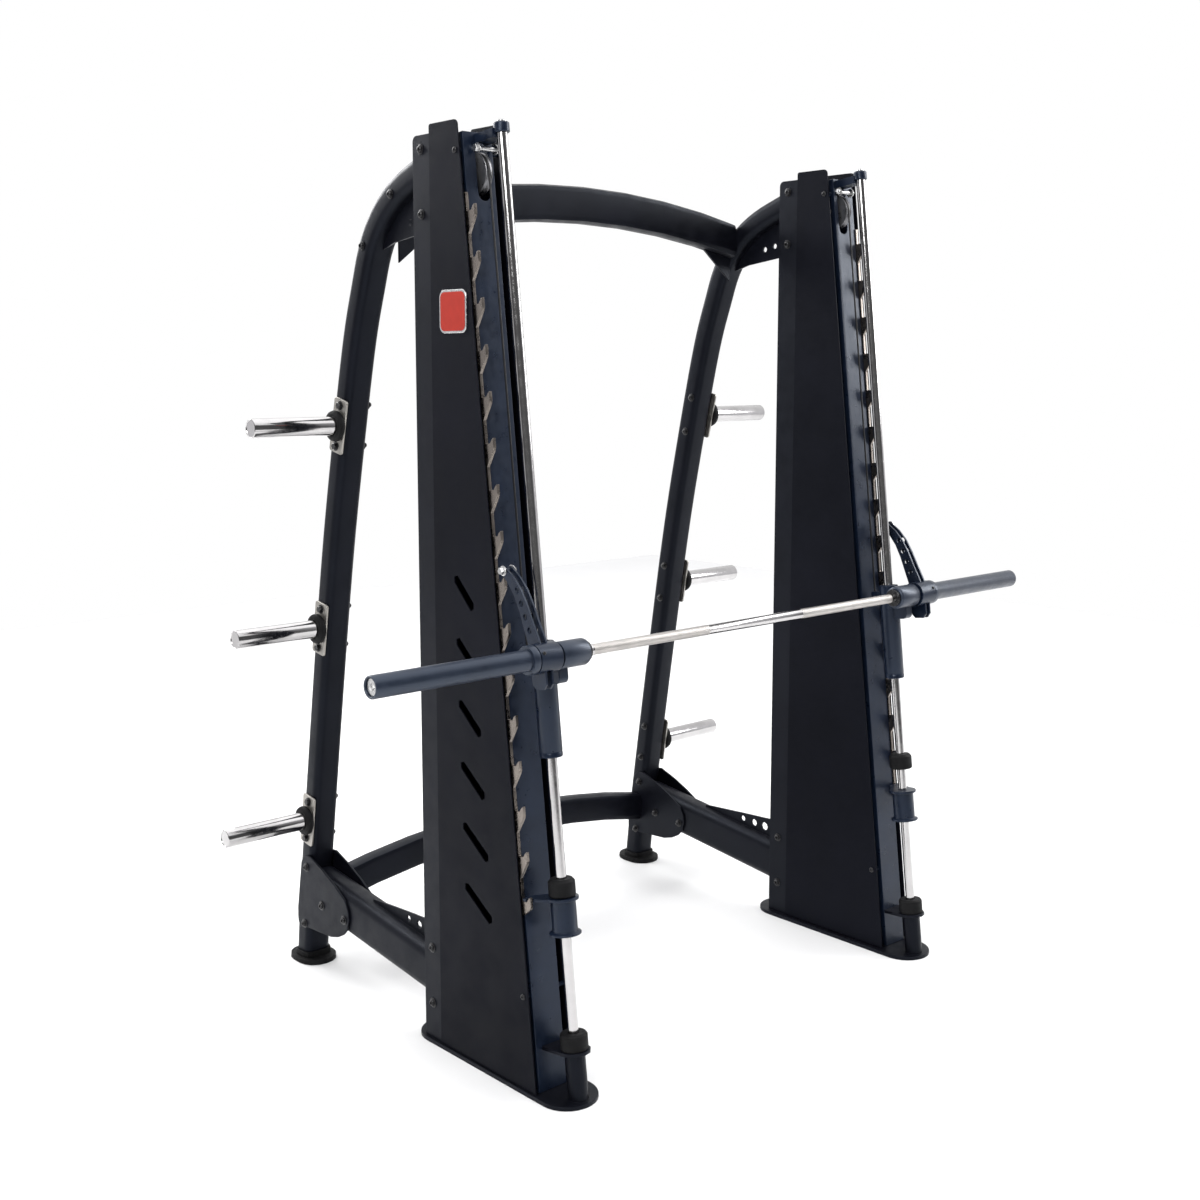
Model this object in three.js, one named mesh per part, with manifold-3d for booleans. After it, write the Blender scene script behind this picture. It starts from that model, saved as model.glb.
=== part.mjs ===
// Smith machine: a barbell that runs on two leaning guide rods, with counterweights inside the columns.
// Millimetres, +X to the lifter's right, +Y to the back, +Z up, origin on the floor in the middle.
// One side is modelled at positive X and mirrored for the other.
import * as THREE from "three";
import { mergeVertices } from "three/addons/utils/BufferGeometryUtils.js";
import Module from "manifold-3d";

const wasm = await Module();
wasm.setup();

// Overall layout.
const GAP = 0.3; // clearance between pieces that touch
const LEAN = THREE.MathUtils.degToRad(6.63); // lean of the guide rods and front uprights
const FACE_Y = -523; // front face of the upright where it meets the base plate
const BASE_T = 10; // base plate thickness
const SIDE_X = 653; // middle plane of the rear post, side rail and base plate

// Front column, across X.
const UPRIGHT_IN = 622;
const UPRIGHT_OUT = 706;
const UPRIGHT_DEPTH = 50;
const UPRIGHT_WALL = 4;
const UPRIGHT_TOP = 2240;
const PANEL_T = 3;
const PANEL_IN = 595; // outer surface of the inner panel
const PANEL_OUT = 721; // outer surface of the outer panel
const PANEL_BACK_Y = -155;
const PANEL_TOP = 2260;
const CHANNEL_BACK_Y = -85;
const CHANNEL_FRONT_Y = -175;
const CHANNEL_TOP = 2240;
const STANDOFF_R = 6;
const STANDOFF_HEIGHTS = [232, 2198];

// Guide rod, in the leaning frame: FORWARD is the distance in front of the upright's face.
const ROD_X = 651;
const ROD_FORWARD = 75;
const ROD_R = 12.5;
const ROD_BOTTOM = 16.3;
const ROD_TOP = 2238;
const CAP_BOTTOM = 2223;
const CAP_R = 18.5;

// Rack plate with upward hooks.
const RACK_T = 8;
const RACK_GAP = 0.5;
const RACK_FRONT = 4; // spine stands this far in front of the upright's face
const RACK_BACK = -30;
const RACK_TOP = 2100;
const RACK_BOTTOM = 427;
const HOOKS = 16;
const HOOK_PITCH = 106.4;
const FIRST_SEAT = 2056.6;
const HOOK_REACH = 33;
const HOOK_LIP = 12;

// Barbell and carriage.
const BAR_FORWARD = 141.7;
const BAR_UP = 1033.5;
const BAR_R = 12.7;
const JOURNAL_R = 15;
const HUB_R = 31.5;
const HUB_IN = 585;
const HUB_OUT = 667;
const COLLAR_R = 35;
const COLLAR_IN = 675;
const COLLAR_OUT = 738;
const SLEEVE_R = 25;
const SLEEVE_IN = 757;
const SLEEVE_OUT = 1168;
const HOUSING_R = 27;
const HOUSING_BORE = 18;
const HOUSING_BOTTOM = 794.6;
const HOUSING_TOP = 1064;
const LATCH_R = 222.5; // from the bar's axis to the latch pin
const LATCH_ANGLE = THREE.MathUtils.degToRad(63.47); // arm above the backward direction, clear of the hooks
const LATCH_PIN_R = 6;
const ARM_T = 5;
const ARM_SPREAD = 9; // arm centres either side of the rack plate's middle

// Counterbalance.
const PULLEY_X = 655;
const PULLEY_BACK = 25; // axle behind the upright's face
const PULLEY_UP = 2150;
const PULLEY_R = 50;
const GROOVE_R = 44;
const AXLE_R = 8;
const CABLE_R = 2.5;
const WRAP_R = GROOVE_R + CABLE_R + 0.8; // cable's centre line round the pulley
const LUG_TOP = 1045;
const WEIGHT = { width: 84, depth: 66, bottom: 1330, top: 1590 };

// Safety stops and bumpers.
const STOP_TOP = 468.1;
const STOP_BOTTOM = 380;
const STOP_PLATE = 7;
const STOP_BUMPER_H = 43;
const STOP_BUMPER_LIFT = { left: GAP, right: 62.6 };
const BASE_BUMPER = { bottom: 108.3, top: 148, radius: 33 };

// Rear frame.
const POST_W = 78;
const POST_D = 65;
const POST_PATH = [
  [566, 16],
  [536, 260],
  [455, 780],
  [387, 1180],
  [324, 1481],
  [259, 1756],
  [210, 1905],
  [172, 2000],
  [112, 2078],
  [30, 2134],
  [-96, 2183],
];
const POST_STEPS = 13;
const TUBE_WALL = 3;
const RAIL_H = 120;
const RAIL_START = [-100, 153];
const RAIL_END = [498, 228.3];
const HORNS = [
  { name: "upper", y: 300, z: 1546, lean: 13.3 },
  { name: "middle", y: 415, z: 992, lean: 9.7 },
  { name: "lower", y: 505, z: 432, lean: 8.9 },
];
const HORN_R = 25;
const HORN_TIP = 954;
const HORN_PLATE = { thickness: 5, width: 60, height: 145 };
const CORNER_PLATE_T = 6;

// Materials.
const finish = (color, roughness, metalness) =>
  new THREE.MeshStandardMaterial({ color, roughness, metalness });
const FINISHES = {
  frame: () => finish(0x23262d, 0.45, 0.3),
  panel: () => finish(0x1b1c20, 0.6, 0.2),
  chrome: () => finish(0xdfe3e8, 0.12, 1),
  zinc: () => finish(0xa9a59c, 0.4, 0.9),
  satin: () => finish(0x2b2f38, 0.35, 0.5),
  rubber: () => finish(0x141416, 0.85, 0),
  nylon: () => finish(0xc9ccd0, 0.45, 0.1),
  iron: () => finish(0x3a3b3d, 0.7, 0.5),
  cable: () => finish(0x15161a, 0.5, 0.3),
};

// Geometry helpers.
function toSolid(geometry) {
  const bare = geometry.index ? geometry.toNonIndexed() : geometry.clone();
  bare.deleteAttribute("normal");
  bare.deleteAttribute("uv");
  const merged = mergeVertices(bare, 1e-3);
  return new wasm.Manifold(
    new wasm.Mesh({
      numProp: 3,
      vertProperties: merged.attributes.position.array,
      triVerts: new Uint32Array(merged.index.array),
    }),
  );
}

function toGeometry(solid) {
  const mesh = solid.getMesh();
  return new THREE.BufferGeometry()
    .setAttribute("position", new THREE.BufferAttribute(mesh.vertProperties, 3))
    .setIndex(new THREE.BufferAttribute(mesh.triVerts, 1));
}

// Joins the first list of geometries and cuts the second list from it.
function carve(added, cut = []) {
  let solid = toSolid(added[0]);
  for (const piece of added.slice(1)) solid = solid.add(toSolid(piece));
  for (const piece of cut) solid = solid.subtract(toSolid(piece));
  return toGeometry(solid);
}

function polygon(points) {
  return new THREE.Shape(points.map(([a, b]) => new THREE.Vector2(a, b)));
}

function roundedRect(width, height, radius) {
  const [w, h] = [width / 2, height / 2];
  const shape = new THREE.Shape();
  shape.absarc(w - radius, h - radius, radius, 0, Math.PI / 2);
  shape.absarc(-w + radius, h - radius, radius, Math.PI / 2, Math.PI);
  shape.absarc(-w + radius, -h + radius, radius, Math.PI, 1.5 * Math.PI);
  shape.absarc(w - radius, -h + radius, radius, 1.5 * Math.PI, 2 * Math.PI);
  return shape;
}

// A shape drawn in (Y, Z), filling from x0 to x1.
function plateYZ(shape, x0, x1, curveSegments = 3) {
  const basis = new THREE.Matrix4().makeBasis(
    new THREE.Vector3(0, 1, 0),
    new THREE.Vector3(0, 0, 1),
    new THREE.Vector3(1, 0, 0),
  );
  return new THREE.ExtrudeGeometry(shape, { depth: x1 - x0, bevelEnabled: false, curveSegments })
    .applyMatrix4(basis)
    .translate(x0, 0, 0);
}

// A shape drawn in (X, Z), filling from y0 to y1.
function plateXZ(shape, y0, y1) {
  const basis = new THREE.Matrix4().makeBasis(
    new THREE.Vector3(1, 0, 0),
    new THREE.Vector3(0, 0, 1),
    new THREE.Vector3(0, -1, 0),
  );
  return new THREE.ExtrudeGeometry(shape, { depth: y1 - y0, bevelEnabled: false })
    .applyMatrix4(basis)
    .translate(0, y1, 0);
}

// A shape drawn in (X, Y), filling from z0 to z1.
function plateXY(shape, z0, z1, curveSegments = 3) {
  return new THREE.ExtrudeGeometry(shape, {
    depth: z1 - z0,
    bevelEnabled: false,
    curveSegments,
  }).translate(0, 0, z0);
}

function block(x0, x1, y0, y1, z0, z1) {
  return new THREE.BoxGeometry(x1 - x0, y1 - y0, z1 - z0).translate(
    (x0 + x1) / 2,
    (y0 + y1) / 2,
    (z0 + z1) / 2,
  );
}

// A turned piece about the Z axis at (x, y), from its [radius, z] profile.
function turnZ(profile, x, y, segments = 20) {
  const points = profile.map(([r, z]) => new THREE.Vector2(r, z));
  return new THREE.LatheGeometry(points, segments).rotateX(Math.PI / 2).translate(x, y, 0);
}

// A turned piece about the X axis at (y, z), from its [radius, x] profile.
function turnX(profile, y, z, segments = 20) {
  const points = profile.map(([r, x]) => new THREE.Vector2(r, x));
  return new THREE.LatheGeometry(points, segments).rotateZ(-Math.PI / 2).translate(0, y, z);
}

const solidProfile = (r, a, b) => [
  [0, a],
  [r, a],
  [r, b],
  [0, b],
];

const ringProfile = (inner, outer, a, b) => [
  [outer, a],
  [outer, b],
  [inner, b],
  [inner, a],
  [outer, a],
];

function sweep(shape, curve, steps, curveSegments = 1) {
  return new THREE.ExtrudeGeometry(shape, { steps, extrudePath: curve, curveSegments });
}

function tubeShape(width, height, radius, wall) {
  const shape = roundedRect(width, height, radius);
  const hole = roundedRect(width - 2 * wall, height - 2 * wall, radius - wall);
  shape.holes.push(new THREE.Path(hole.getPoints(1)));
  return shape;
}

const planarCurve = (points, x) =>
  new THREE.CatmullRomCurve3(points.map(([y, z]) => new THREE.Vector3(x, y, z)));

// The leaning frame: local Y is backward from the upright's face, local Z is up the rods.
const leaning = new THREE.Matrix4()
  .makeTranslation(0, FACE_Y, BASE_T)
  .multiply(new THREE.Matrix4().makeRotationX(-LEAN));
const upright = (geometry) => geometry.clone().applyMatrix4(leaning.clone().invert());

// Everything at or below this height, as seen from the leaning frame.
const belowFloorLevel = (height) => upright(block(300, 1000, -900, 900, -400, height));

// ---------- front column ----------

function basePlate() {
  const radius = 74;
  const outline = new THREE.Shape();
  outline.absarc(SIDE_X, -560, radius, Math.PI, 2 * Math.PI);
  outline.absarc(SIDE_X, -100, radius, 0, Math.PI);
  const plate = plateXY(outline, 0, BASE_T, 8);
  const socket = turnZ(solidProfile(24, -20, 102), ROD_X, -ROD_FORWARD).applyMatrix4(leaning);
  const bracket = new THREE.Shape();
  bracket.absarc(ROD_X, -ROD_FORWARD, 38, Math.PI, 2 * Math.PI);
  bracket.lineTo(ROD_X + 38, -GAP);
  bracket.lineTo(ROD_X - 29, -GAP);
  bracket.lineTo(ROD_X - 38, -ROD_FORWARD + 12);
  const shelf = plateXY(bracket, 100, 108).applyMatrix4(leaning);
  const bore = turnZ(solidProfile(ROD_R + GAP, ROD_BOTTOM - GAP, 200), ROD_X, -ROD_FORWARD).applyMatrix4(leaning);
  const underFloor = block(300, 1000, -900, 300, -200, 0);
  return carve([plate, socket, shelf], [bore, underFloor]);
}

// Formed channel, open at the back, with the pulley slot and axle holes.
function frontUpright() {
  const web = block(UPRIGHT_IN, UPRIGHT_OUT, 0, UPRIGHT_DEPTH, -40, UPRIGHT_TOP);
  const hollow = block(
    UPRIGHT_IN + UPRIGHT_WALL,
    UPRIGHT_OUT - UPRIGHT_WALL,
    UPRIGHT_WALL,
    UPRIGHT_DEPTH + 1,
    -60,
    UPRIGHT_TOP + 20,
  );
  const slotShape = roundedRect(36, 132, 17);
  const slot = plateXY(slotShape, 0, 20)
    .rotateX(Math.PI / 2)
    .translate(PULLEY_X, 10, PULLEY_UP);
  const axleHole = turnX(
    solidProfile(AXLE_R + GAP, UPRIGHT_IN - 5, UPRIGHT_OUT + 5),
    PULLEY_BACK,
    PULLEY_UP,
    16,
  );
  const standoffs = STANDOFF_HEIGHTS.flatMap((z) => [
    turnX(solidProfile(STANDOFF_R, PANEL_IN + PANEL_T + GAP, UPRIGHT_IN + 1), 14, z, 8),
    turnX(solidProfile(STANDOFF_R, UPRIGHT_OUT - 1, PANEL_OUT - PANEL_T - GAP), 14, z, 8),
  ]);
  const body = toGeometry(toSolid(web).subtract(toSolid(hollow)));
  return carve([body, ...standoffs], [slot, axleHole, belowFloorLevel(BASE_T + GAP)]);
}

// Upright back member of the column: a channel that the side rail and post bolt to.
function rearChannel() {
  const [inner, outer] = [PANEL_IN + PANEL_T + GAP, PANEL_OUT - PANEL_T - GAP];
  const low = BASE_T + GAP;
  const flange = new THREE.Shape();
  flange.moveTo(CHANNEL_FRONT_Y, low);
  flange.lineTo(CHANNEL_BACK_Y, low);
  flange.absarc(CHANNEL_BACK_Y - 14, CHANNEL_TOP - 14, 14, 0, Math.PI / 2);
  flange.lineTo(CHANNEL_FRONT_Y, CHANNEL_TOP);
  const web = block(inner + 1, outer - 1, CHANNEL_BACK_Y - 3, CHANNEL_BACK_Y, low, CHANNEL_TOP - 14);
  return carve([plateYZ(flange, inner, inner + 3), plateYZ(flange, outer - 3, outer), web]);
}

function panelShape() {
  const low = BASE_T + 2;
  const frontAt = (z) => FACE_Y - 4 + (z - BASE_T) * Math.tan(LEAN);
  const radius = 14;
  const shape = new THREE.Shape();
  shape.moveTo(frontAt(low), low);
  shape.lineTo(PANEL_BACK_Y, low);
  shape.absarc(PANEL_BACK_Y - 6, PANEL_TOP - 6, 6, 0, Math.PI / 2);
  shape.absarc(frontAt(PANEL_TOP) + radius, PANEL_TOP - radius, radius, Math.PI / 2, Math.PI + LEAN);
  return shape;
}

// The outer panel carries a plain row of slanted slots.
function outerPanel() {
  const shape = panelShape();
  const [slots, pitch, firstZ] = [6, 150, 420];
  for (let i = 0; i < slots; i++) {
    const z = firstZ + i * pitch;
    const mid = (FACE_Y + z * Math.tan(LEAN) + PANEL_BACK_Y) / 2;
    const half = 52 - 3 * i;
    shape.holes.push(
      new THREE.Path(
        [
          [mid - half, z - 34],
          [mid - half + 12, z - 40],
          [mid + half, z + 22],
          [mid + half, z + 36],
          [mid + half - 12, z + 40],
          [mid - half, z - 20],
        ].map(([y, h]) => new THREE.Vector2(y, h)),
      ),
    );
  }
  return plateYZ(shape, PANEL_OUT - PANEL_T, PANEL_OUT);
}

function innerPanel() {
  return plateYZ(panelShape(), PANEL_IN, PANEL_IN + PANEL_T);
}

// One flat plate: a straight spine with hooks that open upward.
function rack() {
  const points = [
    [-RACK_BACK, RACK_BOTTOM],
    [-RACK_BACK, RACK_TOP],
    [-RACK_FRONT, RACK_TOP],
  ];
  for (let k = 0; k < HOOKS; k++) {
    const seat = FIRST_SEAT - k * HOOK_PITCH;
    points.push(
      [-RACK_FRONT, seat],
      [-20, seat],
      [-27, seat + HOOK_LIP - 3.5],
      [-HOOK_REACH, seat + HOOK_LIP],
      [-HOOK_REACH, seat - 10],
      [-30, seat - 17],
    );
    if (k < HOOKS - 1) points.push([-RACK_FRONT, seat - 52]);
  }
  points.push([-RACK_FRONT - 2, RACK_BOTTOM]);
  return plateYZ(polygon(points.reverse()), UPRIGHT_OUT + RACK_GAP, UPRIGHT_OUT + RACK_GAP + RACK_T);
}

function guideRod() {
  return turnZ(
    [
      [0, 16.3],
      [ROD_R, 16.3],
      [ROD_R, ROD_TOP - 2],
      [ROD_R - 2, ROD_TOP],
      [0, ROD_TOP],
    ],
    ROD_X,
    -ROD_FORWARD,
  );
}

// Arm from the upright to the rod, with a socket over the rod's end.
function topBracket() {
  const arm = block(ROD_X - 19, ROD_X + 21, -ROD_FORWARD + 8, -GAP, 2214, 2235);
  const cap = turnZ(
    [
      [0, CAP_BOTTOM],
      [CAP_R - 1.5, CAP_BOTTOM],
      [CAP_R, CAP_BOTTOM + 2],
      [CAP_R, 2244],
      [CAP_R - 3, 2247],
      [0, 2247],
    ],
    ROD_X,
    -ROD_FORWARD,
  );
  const bore = turnZ(solidProfile(ROD_R + GAP, 2200, ROD_TOP + 1), ROD_X, -ROD_FORWARD);
  return carve([arm, cap], [bore]);
}

function baseBumper() {
  const { bottom, top, radius } = BASE_BUMPER;
  return turnZ(
    [
      [radius, bottom],
      [radius, top - 5],
      [radius - 4, top],
      [ROD_R + 1, top],
      [ROD_R + 1, bottom],
      [radius, bottom],
    ],
    ROD_X,
    -ROD_FORWARD,
  );
}

// ---------- rear frame ----------

function rearPost() {
  const tube = sweep(tubeShape(POST_W, POST_D, 20, TUBE_WALL), planarCurve(POST_PATH, SIDE_X), POST_STEPS);
  const gusset = polygon([
    [CHANNEL_BACK_Y + GAP, 2030],
    [84, 2008],
    [150, 1990],
    [140, 2030],
    [60, 2096],
    [CHANNEL_BACK_Y + GAP, 2150],
  ]);
  gusset.holes.push(circlePath(16, 2052, 8), circlePath(-23, 2060, 8));
  const web = plateYZ(gusset, SIDE_X - 3, SIDE_X + 3);
  const inFront = block(500, 800, -400, CHANNEL_BACK_Y + GAP, 1900, 2400);
  const core = sweep(
    roundedRect(POST_W - 2 * TUBE_WALL, POST_D - 2 * TUBE_WALL, 20 - TUBE_WALL),
    planarCurve(POST_PATH, SIDE_X),
    POST_STEPS,
  );
  return carve([toGeometry(toSolid(web).subtract(toSolid(core))), tube], [inFront]);
}

function circlePath(y, z, radius) {
  const sides = 8;
  const points = Array.from({ length: sides }, (_, i) => {
    const angle = (2 * Math.PI * i) / sides;
    return new THREE.Vector2(y + radius * Math.cos(angle), z + radius * Math.sin(angle));
  });
  return new THREE.Path(points);
}

function sideRail() {
  const line = new THREE.LineCurve3(
    new THREE.Vector3(SIDE_X, ...RAIL_START),
    new THREE.Vector3(SIDE_X, ...RAIL_END),
  );
  const tube = sweep(tubeShape(POST_W, RAIL_H, 28, TUBE_WALL), line, 1, 2);
  const fin = polygon([
    [CHANNEL_BACK_Y + GAP, 205],
    [245, 246],
    [240, 262],
    [75, 272],
    [CHANNEL_BACK_Y + GAP, 280],
  ]);
  fin.holes.push(circlePath(75, 254, 9), circlePath(27, 251, 11), circlePath(-17, 249, 13));
  const core = sweep(roundedRect(POST_W - 6, RAIL_H - 6, 25), line, 1, 2);
  const web = toGeometry(toSolid(plateYZ(fin, SIDE_X - 3, SIDE_X + 3)).subtract(toSolid(core)));
  const inFront = block(500, 800, -400, CHANNEL_BACK_Y + GAP, 0, 400);
  return carve([tube, web], [inFront]);
}

// Rubber boot that closes the foot of the post.
function foot() {
  const flange = roundedRect(112, 142, 54);
  const collar = roundedRect(POST_W + 12, POST_D + 12, 24);
  const well = roundedRect(POST_W + 1.4, POST_D + 3, 20.5);
  return carve(
    [
      plateXY(flange, 0, 14, 2).translate(SIDE_X, 564, 0),
      plateXY(collar, 10, 30, 1).translate(SIDE_X, 564, 0),
    ],
    [plateXY(well, 12, 60, 1).translate(SIDE_X, 564.5, 0)],
  );
}

function cornerPlateShape() {
  const shape = new THREE.Shape();
  shape.moveTo(560, 110);
  shape.quadraticCurveTo(572, 112, 568, 160);
  shape.lineTo(543, 300);
  shape.quadraticCurveTo(536, 328, 495, 326);
  shape.quadraticCurveTo(392, 292, 322, 247);
  shape.quadraticCurveTo(284, 212, 310, 164);
  shape.quadraticCurveTo(332, 132, 394, 120);
  return shape;
}

function cornerPlate(x0) {
  return plateYZ(cornerPlateShape(), x0, x0 + CORNER_PLATE_T);
}

// Horn that stores weight plates: a tube closed at its tip, welded to its bolt-on plate.
function horn({ y, z, lean }) {
  const face = SIDE_X + POST_W / 2 + GAP;
  const { thickness, width, height } = HORN_PLATE;
  const plate = new THREE.BoxGeometry(thickness, width, height)
    .rotateX(THREE.MathUtils.degToRad(lean))
    .translate(face + thickness / 2, y, z);
  const pin = turnX(
    [
      [0, face + 1],
      [HORN_R, face + 1],
      [HORN_R, HORN_TIP - 3],
      [HORN_R - 3, HORN_TIP],
      [0, HORN_TIP],
    ],
    y,
    z,
  );
  const bore = turnX(solidProfile(HORN_R - 4, face - 5, HORN_TIP - 6), y, z);
  return carve([plate, pin], [bore]);
}

// Arched tube between the two rear posts.
function crossBeam({ y, crown, end, height, depth, half, gussets }) {
  const points = [];
  for (let i = -6; i <= 6; i++) {
    const x = (i / 6) * (half + 12);
    points.push(new THREE.Vector3(x, y, crown - (crown - end) * (x / half) ** 2));
  }
  const tube = sweep(
    tubeShape(depth, height, 18, TUBE_WALL),
    new THREE.CatmullRomCurve3(points),
    8,
  );
  const under = end - height / 2;
  const webs = gussets
    ? [-1, 1].map((side) =>
        plateXZ(
          polygon([
            [side * half, under + 8],
            [side * (half - 120), under + 24],
            [side * half, under - 70],
          ]),
          y - 3,
          y + 3,
        ),
      )
    : [];
  const ends = [-1, 1].map((side) =>
    block(
      Math.min(side * half, side * (half + 60)),
      Math.max(side * half, side * (half + 60)),
      y - 100,
      y + 100,
      end - 150,
      crown + 150,
    ),
  );
  return carve([tube, ...webs], ends);
}

// ---------- carriage and barbell ----------

// Slide tube, hub and the plate between them, with the cable lug behind.
function carriage() {
  const housing = turnZ(
    [
      [0, HOUSING_BOTTOM],
      [HOUSING_R - 2, HOUSING_BOTTOM],
      [HOUSING_R, HOUSING_BOTTOM + 3],
      [HOUSING_R, HOUSING_TOP - 2],
      [HOUSING_R - 2, HOUSING_TOP],
      [0, HOUSING_TOP],
    ],
    ROD_X,
    -ROD_FORWARD,
  );
  const hub = turnX(
    [
      [0, HUB_IN],
      [HUB_R - 5, HUB_IN],
      [HUB_R, HUB_IN + 6],
      [HUB_R, HUB_OUT],
      [0, HUB_OUT],
    ],
    -BAR_FORWARD,
    BAR_UP,
    20,
  );
  const cheek = new THREE.Shape();
  cheek.moveTo(-ROD_FORWARD - 22, BAR_UP + 22);
  cheek.lineTo(-ROD_FORWARD - 22, BAR_UP - 66);
  cheek.lineTo(-BAR_FORWARD + 14, BAR_UP - 66);
  cheek.quadraticCurveTo(-BAR_FORWARD, BAR_UP - 66, -BAR_FORWARD, BAR_UP - 52);
  cheek.lineTo(-BAR_FORWARD, BAR_UP + 22);
  const plate = plateYZ(cheek, ROD_X - 14.4, ROD_X + 13.7);
  const lug = block(PULLEY_X - 9, PULLEY_X + 9, -ROD_FORWARD + 22, -14, LUG_TOP - 40, LUG_TOP);
  const bore = turnZ(
    solidProfile(HOUSING_BORE, HOUSING_BOTTOM - 5, HOUSING_TOP + 5),
    ROD_X,
    -ROD_FORWARD,
  );
  const journal = turnX(solidProfile(23.5, HUB_IN - 5, HUB_OUT + 5), -BAR_FORWARD, BAR_UP, 20);
  return carve([housing, hub, plate, lug], [bore, journal]);
}

function slideBushing() {
  return turnZ(
    ringProfile(ROD_R + 0.1, HOUSING_BORE - GAP, HOUSING_BOTTOM + 4, HOUSING_TOP - 4),
    ROD_X,
    -ROD_FORWARD,
  );
}

function hubBearing() {
  return turnX(
    ringProfile(JOURNAL_R + GAP, 23.2, HUB_IN + 4, HUB_OUT - 4),
    -BAR_FORWARD,
    BAR_UP,
  );
}

function bar() {
  return turnX(
    [
      [0, -1150],
      [13.6, -1150],
      [13.6, -SLEEVE_IN],
      [JOURNAL_R, -SLEEVE_IN],
      [JOURNAL_R, -HUB_IN + 6],
      [BAR_R, -HUB_IN + 10],
      [BAR_R, HUB_IN - 10],
      [JOURNAL_R, HUB_IN - 6],
      [JOURNAL_R, SLEEVE_IN],
      [13.6, SLEEVE_IN],
      [13.6, 1150],
      [0, 1150],
    ],
    -BAR_FORWARD,
    BAR_UP,
  );
}

// Sleeve for the weight plates, with its shoulder at the collar.
function sleeve() {
  return turnX(
    [
      [COLLAR_R - 1, COLLAR_OUT + 1],
      [COLLAR_R - 1, SLEEVE_IN - 3],
      [COLLAR_R - 4, SLEEVE_IN],
      [SLEEVE_R, SLEEVE_IN],
      [SLEEVE_R, SLEEVE_OUT - 2],
      [SLEEVE_R - 2, SLEEVE_OUT],
      [SLEEVE_R - 5, SLEEVE_OUT],
      [SLEEVE_R - 5, SLEEVE_OUT - 8],
      [14, SLEEVE_OUT - 8],
      [14, SLEEVE_IN + 1],
      [JOURNAL_R + GAP, SLEEVE_IN + 1],
      [JOURNAL_R + GAP, COLLAR_OUT + 1],
      [COLLAR_R - 1, COLLAR_OUT + 1],
    ],
    -BAR_FORWARD,
    BAR_UP,
  );
}

// Outline of a latch arm: a lobe below the bar, then a curved arm up and back to the pin.
function latchArmShape() {
  const turned = (angle, radius) => [
    -BAR_FORWARD + radius * Math.cos(LATCH_ANGLE + angle),
    BAR_UP + radius * Math.sin(LATCH_ANGLE + angle),
  ];
  const spine = [
    { angle: 0.14, radius: 40, half: 20 },
    { angle: 0.12, radius: 90, half: 17 },
    { angle: 0.12, radius: 140, half: 15 },
    { angle: 0.07, radius: 185, half: 13 },
    { angle: 0, radius: LATCH_R, half: 11 },
  ];
  const edge = (sign) =>
    spine.map(({ angle, radius, half }) => {
      const [y, z] = turned(angle, radius);
      return new THREE.Vector2(
        y + sign * half * Math.sin(LATCH_ANGLE),
        z - sign * half * Math.cos(LATCH_ANGLE),
      );
    });
  const [pinY, pinZ] = turned(0, LATCH_R);
  const back = edge(1);
  const front = edge(-1).reverse();
  const shape = new THREE.Shape();
  shape.moveTo(-BAR_FORWARD - 12, BAR_UP - 70);
  shape.lineTo(-BAR_FORWARD + 16, BAR_UP - 70);
  shape.quadraticCurveTo(-BAR_FORWARD + 26, BAR_UP - 70, -BAR_FORWARD + 26, BAR_UP - 60);
  shape.lineTo(-BAR_FORWARD + 30, BAR_UP);
  shape.lineTo(back[0].x, back[0].y);
  shape.splineThru(back.slice(1));
  shape.absarc(pinY, pinZ, 11, LATCH_ANGLE - Math.PI / 2, LATCH_ANGLE + Math.PI / 2);
  shape.splineThru(front.slice(1));
  shape.lineTo(-BAR_FORWARD - 22, BAR_UP);
  shape.lineTo(-BAR_FORWARD - 22, BAR_UP - 58);
  shape.quadraticCurveTo(-BAR_FORWARD - 22, BAR_UP - 70, -BAR_FORWARD - 12, BAR_UP - 70);
  for (let i = 0; i < 4; i++) {
    const [y, z] = turned(0.115, 67 + i * 32.4);
    shape.holes.push(circlePath(y, z, 8));
  }
  return shape;
}

// Collar keyed to the bar, with two arms that reach up and back to a pin across the rack.
function latch() {
  const pinY = -BAR_FORWARD + LATCH_R * Math.cos(LATCH_ANGLE);
  const pinZ = BAR_UP + LATCH_R * Math.sin(LATCH_ANGLE);
  const collar = turnX(
    ringProfile(JOURNAL_R + GAP, COLLAR_R, COLLAR_IN, COLLAR_OUT),
    -BAR_FORWARD,
    BAR_UP,
    20,
  );
  const middle = UPRIGHT_OUT + RACK_GAP + RACK_T / 2;
  const arms = [-ARM_SPREAD, ARM_SPREAD].map((offset) =>
    plateYZ(latchArmShape(), middle + offset - ARM_T / 2, middle + offset + ARM_T / 2, 1),
  );
  const pin = turnX(solidProfile(LATCH_PIN_R, middle - 18, middle + 18), pinY, pinZ, 16);
  const shaft = turnX(solidProfile(JOURNAL_R + GAP, 600, 800), -BAR_FORWARD, BAR_UP, 20);
  return carve([collar, ...arms, pin], [shaft]);
}

// ---------- counterbalance ----------

function pulley() {
  const half = 10;
  return turnX(
    [
      [AXLE_R + 0.2, PULLEY_X - half],
      [PULLEY_R, PULLEY_X - half],
      [PULLEY_R, PULLEY_X - half + 2.5],
      [GROOVE_R, PULLEY_X - 3],
      [GROOVE_R, PULLEY_X + 3],
      [PULLEY_R, PULLEY_X + half - 2.5],
      [PULLEY_R, PULLEY_X + half],
      [AXLE_R + 0.2, PULLEY_X + half],
      [AXLE_R + 0.2, PULLEY_X - half],
    ],
    PULLEY_BACK,
    PULLEY_UP,
    24,
  );
}

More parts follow.
